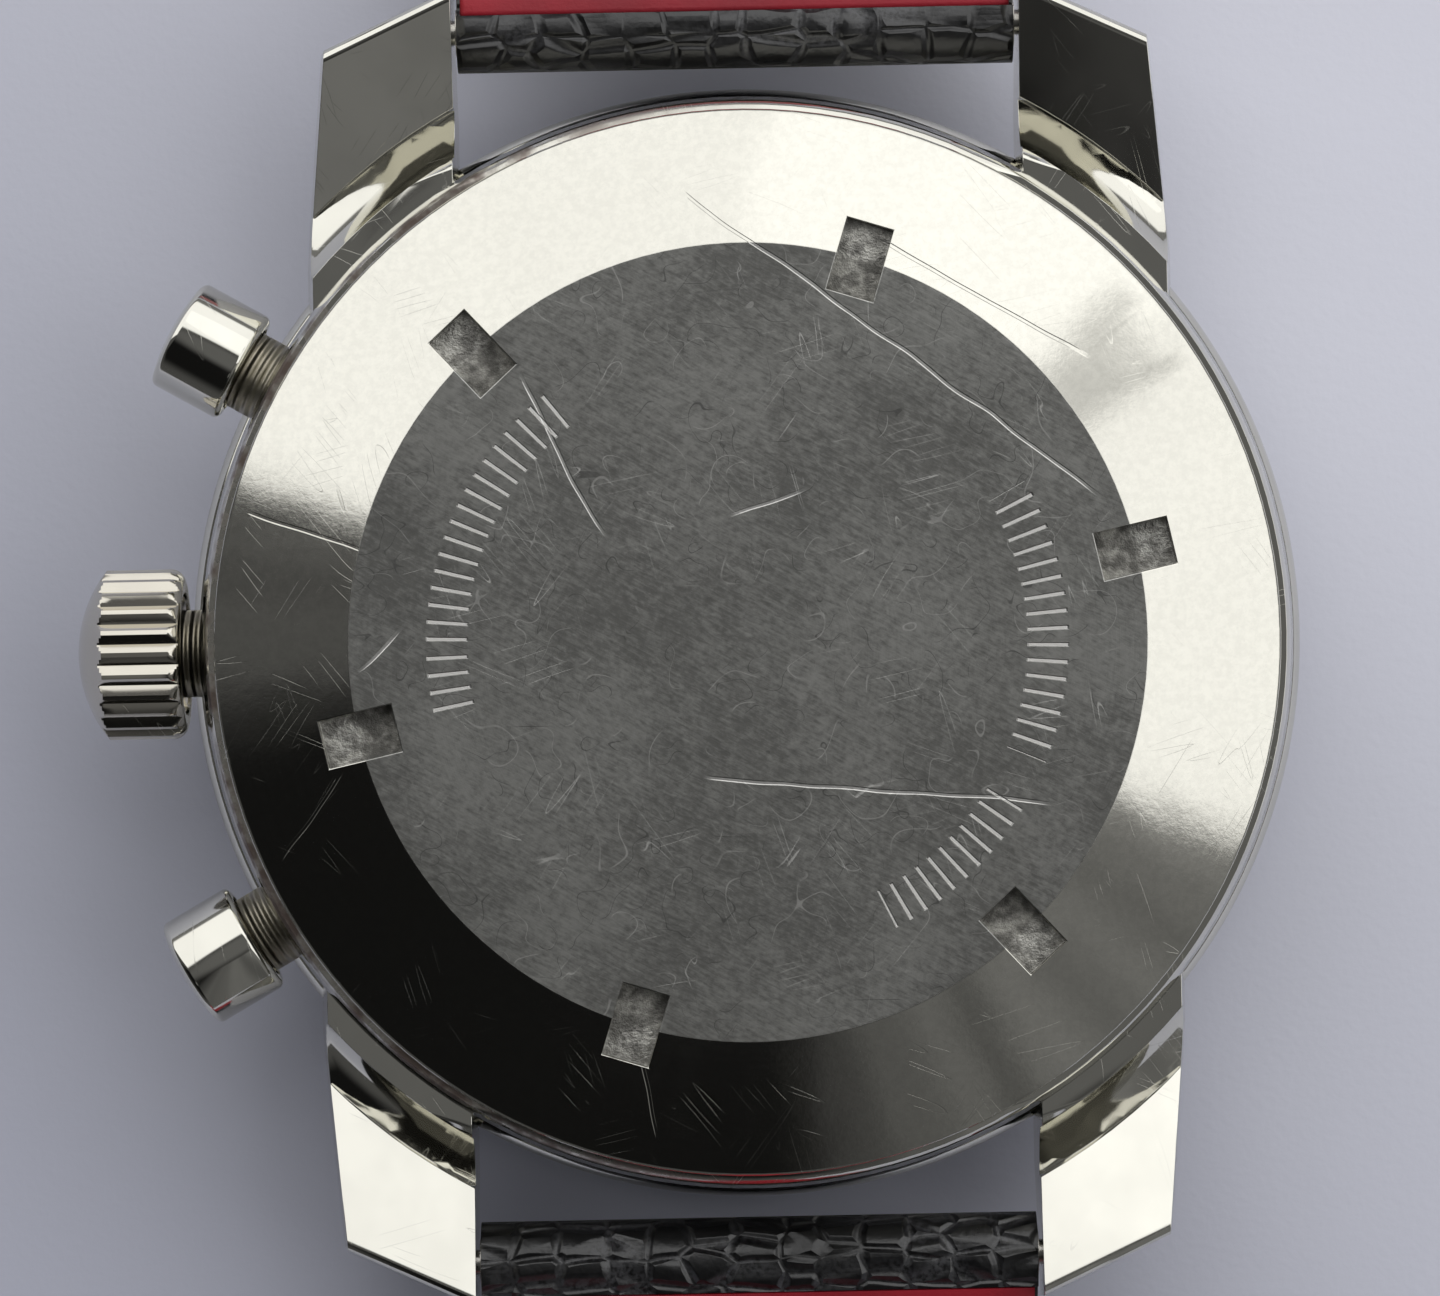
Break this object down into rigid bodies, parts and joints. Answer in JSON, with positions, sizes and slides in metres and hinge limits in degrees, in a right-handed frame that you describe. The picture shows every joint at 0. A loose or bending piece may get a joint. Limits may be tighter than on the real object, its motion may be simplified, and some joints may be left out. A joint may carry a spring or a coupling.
{
  "type": "wrist stopwatch",
  "caption": "Hand-wound wristwatch with a stopwatch mechanism, two push-pieces, a domed crystal and a lined leather strap.",
  "frame": {"origin": "apex of the domed crystal, on the case axis, the point on which the watch rests face down", "axes": "+Z out of the case back, +Y towards 12 o'clock and the buckle, the crown at -X"},
  "size_m": [0.0395, 0.2296, 0.0236],
  "materials": {
    "case_middle": "polished steel",
    "bezel": "polished steel",
    "crystal": "clear acrylic",
    "case_back": "polished slope, finely brushed flat",
    "back_gasket": "matt",
    "case_tubes": "satin steel",
    "pusher_springs": "satin steel",
    "spring_bars": "satin steel",
    "dial": "silvered",
    "main_plate": "nickel-plated brass",
    "barrel_bridge": "nickel-plated brass",
    "train_bridge": "nickel-plated brass",
    "balance_cock": "nickel-plated brass",
    "pallet_cock": "nickel-plated brass",
    "chronograph_bridge": "nickel-plated brass",
    "bridge_screws": "polished steel",
    "crown_gasket": "matt",
    "crown": "satin steel",
    "winding_stem": "satin steel",
    "winding_pinion": "polished steel",
    "crown_wheel": "polished steel",
    "ratchet_wheel": "polished steel",
    "barrel_arbor": "polished steel",
    "click": "polished steel",
    "barrel": "gilt",
    "mainspring": "polished steel",
    "centre_wheel": "gilt",
    "cannon_pinion": "gilt",
    "minute_hand": "polished",
    "third_wheel": "gilt",
    "fourth_wheel": "gilt",
    "small_seconds_hand": "polished",
    "escape_wheel": "gilt",
    "pallet_fork": "polished steel",
    "balance_wheel": "gilt",
    "hairspring": "polished steel",
    "minute_wheel": "gilt",
    "hour_wheel": "gilt",
    "hour_hand": "polished",
    "chrono_runner": "gilt",
    "sweep_hand": "polished",
    "minute_recorder": "gilt",
    "minute_counter_hand": "polished",
    "intermediate_wheel": "gilt",
    "coupling_lever": "polished steel",
    "coupling_wheel": "gilt",
    "chrono_cam": "polished steel",
    "operating_lever": "polished steel",
    "hammer": "polished steel",
    "pusher_upper": "satin steel",
    "pusher_lower": "satin steel",
    "strap_buckle_half": "grained black leather",
    "lining_buckle_half": "smooth red leather",
    "fixed_keeper": "grained black leather",
    "free_keeper": "grained black leather",
    "buckle_frame": "polished steel",
    "buckle_bar": "polished steel",
    "buckle_tongue": "polished steel",
    "strap_tail_half": "grained black leather",
    "lining_tail_half": "smooth red leather"
  },
  "bodies": {
    "case": {"case_middle": "case_middle", "bezel": "bezel", "crystal": "crystal", "case_back": "case_back", "back_gasket": "back_gasket", "case_tubes": "case_tubes", "pusher_springs": "pusher_springs", "spring_bars": "spring_bars", "dial": "dial", "main_plate": "main_plate", "barrel_bridge": "barrel_bridge", "train_bridge": "train_bridge", "balance_cock": "balance_cock", "pallet_cock": "pallet_cock", "chronograph_bridge": "chronograph_bridge", "bridge_screws": "bridge_screws"},
    "crown_slider": {"crown_gasket": "crown_gasket"},
    "crown_group": {"crown": "crown", "winding_stem": "winding_stem"},
    "winding_pinion_group": {"winding_pinion": "winding_pinion"},
    "crown_wheel_group": {"crown_wheel": "crown_wheel"},
    "ratchet_group": {"ratchet_wheel": "ratchet_wheel", "barrel_arbor": "barrel_arbor"},
    "click_group": {"click": "click"},
    "barrel_group": {"barrel": "barrel", "mainspring": "mainspring"},
    "centre_group": {"centre_wheel": "centre_wheel", "cannon_pinion": "cannon_pinion", "minute_hand": "minute_hand"},
    "third_group": {"third_wheel": "third_wheel"},
    "fourth_group": {"fourth_wheel": "fourth_wheel", "small_seconds_hand": "small_seconds_hand"},
    "escape_group": {"escape_wheel": "escape_wheel"},
    "pallet_group": {"pallet_fork": "pallet_fork"},
    "balance_group": {"balance_wheel": "balance_wheel", "hairspring": "hairspring"},
    "minute_wheel_group": {"minute_wheel": "minute_wheel"},
    "hour_group": {"hour_wheel": "hour_wheel", "hour_hand": "hour_hand"},
    "runner_group": {"chrono_runner": "chrono_runner", "sweep_hand": "sweep_hand"},
    "recorder_group": {"minute_recorder": "minute_recorder", "minute_counter_hand": "minute_counter_hand"},
    "intermediate_group": {"intermediate_wheel": "intermediate_wheel"},
    "coupling_lever_group": {"coupling_lever": "coupling_lever"},
    "coupling_wheel_group": {"coupling_wheel": "coupling_wheel"},
    "cam_group": {"chrono_cam": "chrono_cam"},
    "operating_lever_group": {"operating_lever": "operating_lever"},
    "hammer_group": {"hammer": "hammer"},
    "pusher_upper_group": {"pusher_upper": "pusher_upper"},
    "pusher_lower_group": {"pusher_lower": "pusher_lower"},
    "buckle_half": {"strap_buckle_half": "strap_buckle_half", "lining_buckle_half": "lining_buckle_half", "fixed_keeper": "fixed_keeper"},
    "free_keeper_group": {"free_keeper": "free_keeper"},
    "buckle_group": {"buckle_frame": "buckle_frame", "buckle_bar": "buckle_bar"},
    "tongue_group": {"buckle_tongue": "buckle_tongue"},
    "tail_half": {"strap_tail_half": "strap_tail_half", "lining_tail_half": "lining_tail_half"}
  },
  "joints": [
    {"name": "strap_buckle_hinge", "type": "hinge", "parent": "case", "child": "buckle_half", "pos_m": [0, 0.01975, 0.0069], "axis": [1, 0, 0], "range_deg": [-60, 85]},
    {"name": "strap_tail_hinge", "type": "hinge", "parent": "case", "child": "tail_half", "pos_m": [0, -0.01975, 0.0069], "axis": [-1, 0, 0], "range_deg": [-60, 85]},
    {"name": "buckle_hinge", "type": "hinge", "parent": "buckle_half", "child": "buckle_group", "pos_m": [0, 0.08687, 0.003], "axis": [1, 0, 0], "range_deg": [-50, 60]},
    {"name": "tongue_hinge", "type": "hinge", "parent": "buckle_group", "child": "tongue_group", "pos_m": [0, 0.08687, 0.003], "axis": [1, 0, 0], "range_deg": [-60, 0]},
    {"name": "free_keeper_slide", "type": "slide", "parent": "buckle_half", "child": "free_keeper_group", "axis": [0, 1, 0], "range_m": [-0.006, 0.0045]},
    {"name": "crown_pull", "type": "slide", "parent": "case", "child": "crown_slider", "axis": [-1, 0, 0], "range_m": [0, 0.0008]},
    {"name": "crown_spin", "type": "hinge", "parent": "crown_slider", "child": "crown_group", "pos_m": [-0.02, 0, 0.0069], "axis": [-1, 0, 0], "continuous": true},
    {"name": "winding_pinion_spin", "type": "hinge", "parent": "case", "child": "winding_pinion_group", "pos_m": [-0.0118, 0, 0.0069], "axis": [-1, 0, 0], "continuous": true},
    {"name": "crown_wheel_spin", "type": "hinge", "parent": "case", "child": "crown_wheel_group", "pos_m": [-0.00994, 0.0016, 0.0085], "axis": [0, 0, 1], "continuous": true},
    {"name": "ratchet_spin", "type": "hinge", "parent": "case", "child": "ratchet_group", "pos_m": [-0.00284, 0.00609, 0.0085], "axis": [0, 0, 1], "continuous": true},
    {"name": "click_swing", "type": "hinge", "parent": "case", "child": "click_group", "pos_m": [0.00117, 0.01182, 0.0086], "axis": [0, 0, 1], "range_deg": [-8, 0], "stiffness_Nm_per_rad": 0.00001},
    {"name": "barrel_spin", "type": "hinge", "parent": "case", "child": "barrel_group", "pos_m": [-0.00284, 0.00609, 0.0065], "axis": [0, 0, 1], "continuous": true},
    {"name": "centre_spin", "type": "hinge", "parent": "case", "child": "centre_group", "pos_m": [0, 0, 0.007], "axis": [0, 0, 1], "continuous": true},
    {"name": "third_spin", "type": "hinge", "parent": "case", "child": "third_group", "pos_m": [0.00415, -0.00216, 0.007], "axis": [0, 0, 1], "continuous": true},
    {"name": "fourth_spin", "type": "hinge", "parent": "case", "child": "fourth_group", "pos_m": [0.0072, 0, 0.007], "axis": [0, 0, 1], "continuous": true},
    {"name": "escape_spin", "type": "hinge", "parent": "case", "child": "escape_group", "pos_m": [0.00845, -0.00344, 0.007], "axis": [0, 0, 1], "continuous": true},
    {"name": "pallet_swing", "type": "hinge", "parent": "case", "child": "pallet_group", "pos_m": [0.00653, -0.0054, 0.0066], "axis": [0, 0, 1], "range_deg": [-5, 5]},
    {"name": "balance_swing", "type": "hinge", "parent": "case", "child": "balance_group", "pos_m": [0.0032, -0.0088, 0.0074], "axis": [0, 0, 1], "range_deg": [-270, 270], "stiffness_Nm_per_rad": 0.0000005},
    {"name": "minute_wheel_spin", "type": "hinge", "parent": "case", "child": "minute_wheel_group", "pos_m": [0, -0.003, 0.0042], "axis": [0, 0, 1], "continuous": true},
    {"name": "hour_spin", "type": "hinge", "parent": "case", "child": "hour_group", "pos_m": [0, 0, 0.004], "axis": [0, 0, 1], "continuous": true},
    {"name": "runner_spin", "type": "hinge", "parent": "case", "child": "runner_group", "pos_m": [0, 0, 0.0096], "axis": [0, 0, 1], "continuous": true},
    {"name": "recorder_spin", "type": "hinge", "parent": "case", "child": "recorder_group", "pos_m": [-0.0072, 0, 0.0096], "axis": [0, 0, 1], "continuous": true},
    {"name": "intermediate_spin", "type": "hinge", "parent": "case", "child": "intermediate_group", "pos_m": [-0.004, 0.0024, 0.0096], "axis": [0, 0, 1], "continuous": true},
    {"name": "cam_turn", "type": "hinge", "parent": "case", "child": "cam_group", "pos_m": [0.0044, 0.0086, 0.0093], "axis": [0, 0, 1], "range_deg": [0, 15]},
    {"name": "coupling_lever_swing", "type": "hinge", "parent": "case", "child": "coupling_lever_group", "pos_m": [0.0072, 0, 0.0092], "axis": [0, 0, 1], "range_deg": [0, 6]},
    {"name": "coupling_wheel_spin", "type": "hinge", "parent": "coupling_lever_group", "child": "coupling_wheel_group", "pos_m": [0.00382, 0.00233, 0.0096], "axis": [0, 0, 1], "continuous": true},
    {"name": "pusher_upper_press", "type": "slide", "parent": "case", "child": "pusher_upper_group", "axis": [0.8686, -0.4955, 0], "range_m": [0, 0.0009], "stiffness_N_per_m": 800, "springref_m": -0.001, "deforming": ["pusher_springs"]},
    {"name": "pusher_lower_press", "type": "slide", "parent": "case", "child": "pusher_lower_group", "axis": [0.8686, 0.4955, 0], "range_m": [0, 0.0009], "stiffness_N_per_m": 800, "springref_m": -0.001, "deforming": ["pusher_springs"]},
    {"name": "operating_lever_swing", "type": "hinge", "parent": "case", "child": "operating_lever_group", "pos_m": [-0.0086, 0.01, 0.0092], "axis": [0, 0, 1], "range_deg": [0, 12]},
    {"name": "hammer_swing", "type": "hinge", "parent": "case", "child": "hammer_group", "pos_m": [-0.0046, -0.0106, 0.0092], "axis": [0, 0, 1], "range_deg": [-8, 0]}
  ],
  "couplings": [
    {"joint": "third_spin", "follows": "fourth_spin", "ratio": -0.13333},
    {"joint": "centre_spin", "follows": "fourth_spin", "ratio": 0.016667},
    {"joint": "barrel_spin", "follows": "fourth_spin", "ratio": -0.0027778},
    {"joint": "escape_spin", "follows": "fourth_spin", "ratio": -10},
    {"joint": "minute_wheel_spin", "follows": "fourth_spin", "ratio": -0.0055556},
    {"joint": "hour_spin", "follows": "fourth_spin", "ratio": 0.0013889},
    {"joint": "coupling_wheel_spin", "follows": "fourth_spin", "ratio": -1.6},
    {"joint": "winding_pinion_spin", "follows": "crown_spin", "ratio": 1},
    {"joint": "crown_wheel_spin", "follows": "crown_spin", "ratio": -0.44444},
    {"joint": "ratchet_spin", "follows": "crown_spin", "ratio": 0.21053},
    {"joint": "recorder_spin", "follows": "runner_spin", "ratio": 0.033333},
    {"joint": "intermediate_spin", "follows": "runner_spin", "ratio": -0.057143},
    {"joint": "coupling_lever_swing", "follows": "cam_turn", "ratio": 0.4},
    {"joint": "operating_lever_swing", "follows": "pusher_upper_press", "rad_per_m": 225.8},
    {"joint": "hammer_swing", "follows": "pusher_lower_press", "rad_per_m": -144.3}
  ]
}
